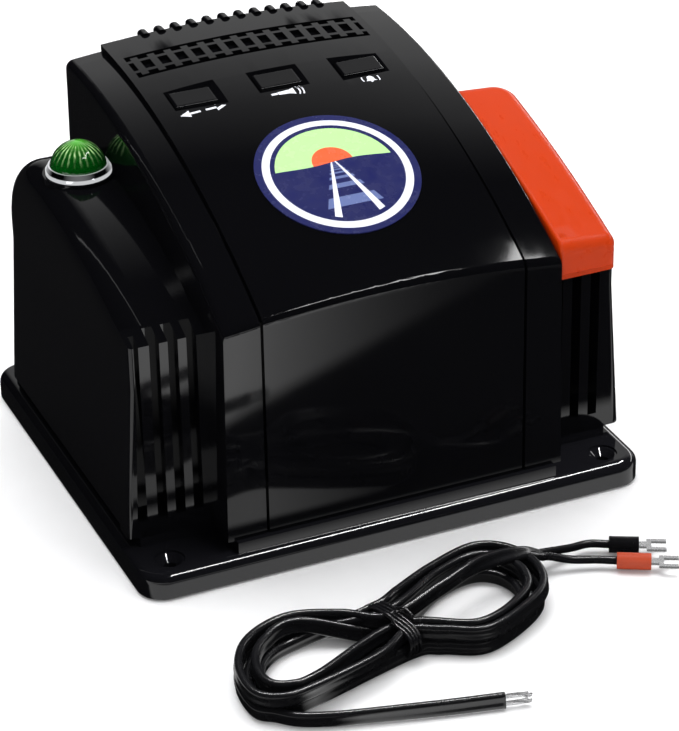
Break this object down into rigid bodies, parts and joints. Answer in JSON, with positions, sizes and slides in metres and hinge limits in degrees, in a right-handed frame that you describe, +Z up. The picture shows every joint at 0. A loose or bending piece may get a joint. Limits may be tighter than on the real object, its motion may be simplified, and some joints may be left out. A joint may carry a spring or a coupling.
{
  "type": "train set controller",
  "caption": "Desk-top model train power pack: curved hood with round badge and three keys, side throttle lever, jewel lamp, rear terminals, cord and tied track lead.",
  "frame": {"origin": "centre of the base plate's outline, on the plane that the rubber feet stand on", "axes": "+X to the right as seen from the front, +Y to the back, +Z up; the front with the ribs and the lever's nose faces -Y"},
  "size_m": [0.1784, 0.3339, 0.1309],
  "materials": {
    "black_gloss": "high-gloss injection-moulded ABS",
    "black_matte": "lightly textured black plastic",
    "orange_gloss": "smooth orange-red ABS, semi-gloss",
    "badge_print": null,
    "chrome": "polished plated",
    "green_lens": "transparent green moulded jewel",
    "clear_glass": "clear bulb glass",
    "rubber": "soft black rubber",
    "zinc_steel": "zinc-plated",
    "spring_steel": "drawn wire",
    "laminations": "varnished silicon-steel stampings",
    "copper_winding": "enamelled copper wire under amber tape",
    "bobbin_nylon": "natural nylon",
    "pcb_green": "solder-masked laminate",
    "aluminium": "extruded, natural",
    "brass": "nickel-free brass",
    "red_plastic": "red moulded cap",
    "black_pvc": "satin PVC insulation",
    "red_vinyl": "red-orange crimp sleeve",
    "tinned_copper": "tinned copper",
    "capacitor_sleeve": "dark heat-shrunk sleeve",
    "fuse_glass": "glass tube fuse"
  },
  "bodies": {
    "case": {"base_plate": "black_gloss", "main_shell": "black_gloss", "centre_panel": "black_gloss", "badge_disc": "badge_print", "rubber_feet": "rubber", "case_screws": "zinc_steel", "direction_spring": "spring_steel", "horn_spring": "spring_steel", "bell_spring": "spring_steel", "button_switches": "black_matte", "button_board": "pcb_green", "button_board_screws": "zinc_steel", "potentiometer": "zinc_steel", "potentiometer_nut": "zinc_steel", "lamp_bezel": "chrome", "lamp_jewel": "green_lens", "lamp_holder": "black_matte", "lamp_bulb": "clear_glass", "terminal_plate": "black_matte", "terminal_studs": "brass", "terminal_collars": "black_matte", "solder_tags": "tinned_copper", "transformer_core": "laminations", "transformer_bobbin": "bobbin_nylon", "primary_winding": "copper_winding", "secondary_winding": "copper_winding", "transformer_strap": "zinc_steel", "transformer_screws": "zinc_steel", "transformer_pads": "rubber", "main_board": "pcb_green", "main_board_screws": "zinc_steel", "filter_capacitors": "capacitor_sleeve", "heat_sink": "aluminium", "power_triac": "black_matte", "control_chip": "black_matte", "fuse_holder": "black_matte", "fuse": "fuse_glass", "strain_relief": "black_matte", "mains_cord": "black_pvc", "mains_cord_tie": "black_pvc", "mains_plug": "black_pvc", "plug_blades": "brass", "internal_wires": "black_pvc"},
    "throttle": {"throttle_lever": "orange_gloss", "throttle_shaft": "zinc_steel"},
    "direction_key": {"direction_button": "black_gloss"},
    "horn_key": {"horn_button": "black_gloss"},
    "bell_key": {"bell_button": "black_gloss"},
    "track_common_nut": {"track_common_post_nut": "black_gloss"},
    "track_power_nut": {"track_power_post_nut": "red_plastic"},
    "accessory_common_nut": {"accessory_common_post_nut": "black_gloss"},
    "accessory_power_nut": {"accessory_power_post_nut": "red_plastic"},
    "loose_track_lead": {"track_lead_cable": "black_pvc", "track_lead_tie": "black_pvc", "lug_sleeve_black": "black_pvc", "lug_sleeve_red": "red_vinyl", "lug_forks": "tinned_copper", "tinned_ends": "tinned_copper"}
  },
  "joints": [
    {"name": "throttle_swing", "type": "hinge", "parent": "case", "child": "throttle", "pos_m": [0.06, 0.008, 0.04], "axis": [-1, 0, 0], "range_deg": [0, 50]},
    {"name": "direction_press", "type": "slide", "parent": "case", "child": "direction_key", "axis": [0, 0.1686, -0.9857], "range_m": [0, 0.0016], "stiffness_N_per_m": 250, "springref_m": -0.002, "deforming": ["direction_spring"]},
    {"name": "horn_press", "type": "slide", "parent": "case", "child": "horn_key", "axis": [0, 0.1686, -0.9857], "range_m": [0, 0.0016], "stiffness_N_per_m": 250, "springref_m": -0.002, "deforming": ["horn_spring"]},
    {"name": "bell_press", "type": "slide", "parent": "case", "child": "bell_key", "axis": [0, 0.1686, -0.9857], "range_m": [0, 0.0016], "stiffness_N_per_m": 250, "springref_m": -0.002, "deforming": ["bell_spring"]},
    {"name": "track_common_unscrew", "type": "slide", "parent": "case", "child": "track_common_nut", "axis": [0, 1, 0], "range_m": [0, 0.004]},
    {"name": "track_power_unscrew", "type": "slide", "parent": "case", "child": "track_power_nut", "axis": [0, 1, 0], "range_m": [0, 0.004]},
    {"name": "accessory_common_unscrew", "type": "slide", "parent": "case", "child": "accessory_common_nut", "axis": [0, 1, 0], "range_m": [0, 0.004]},
    {"name": "accessory_power_unscrew", "type": "slide", "parent": "case", "child": "accessory_power_nut", "axis": [0, 1, 0], "range_m": [0, 0.004]},
    {"name": "track_lead_lift", "type": "slide", "parent": "case", "child": "loose_track_lead", "axis": [0, 0, 1], "range_m": [0, 0.15]}
  ]
}
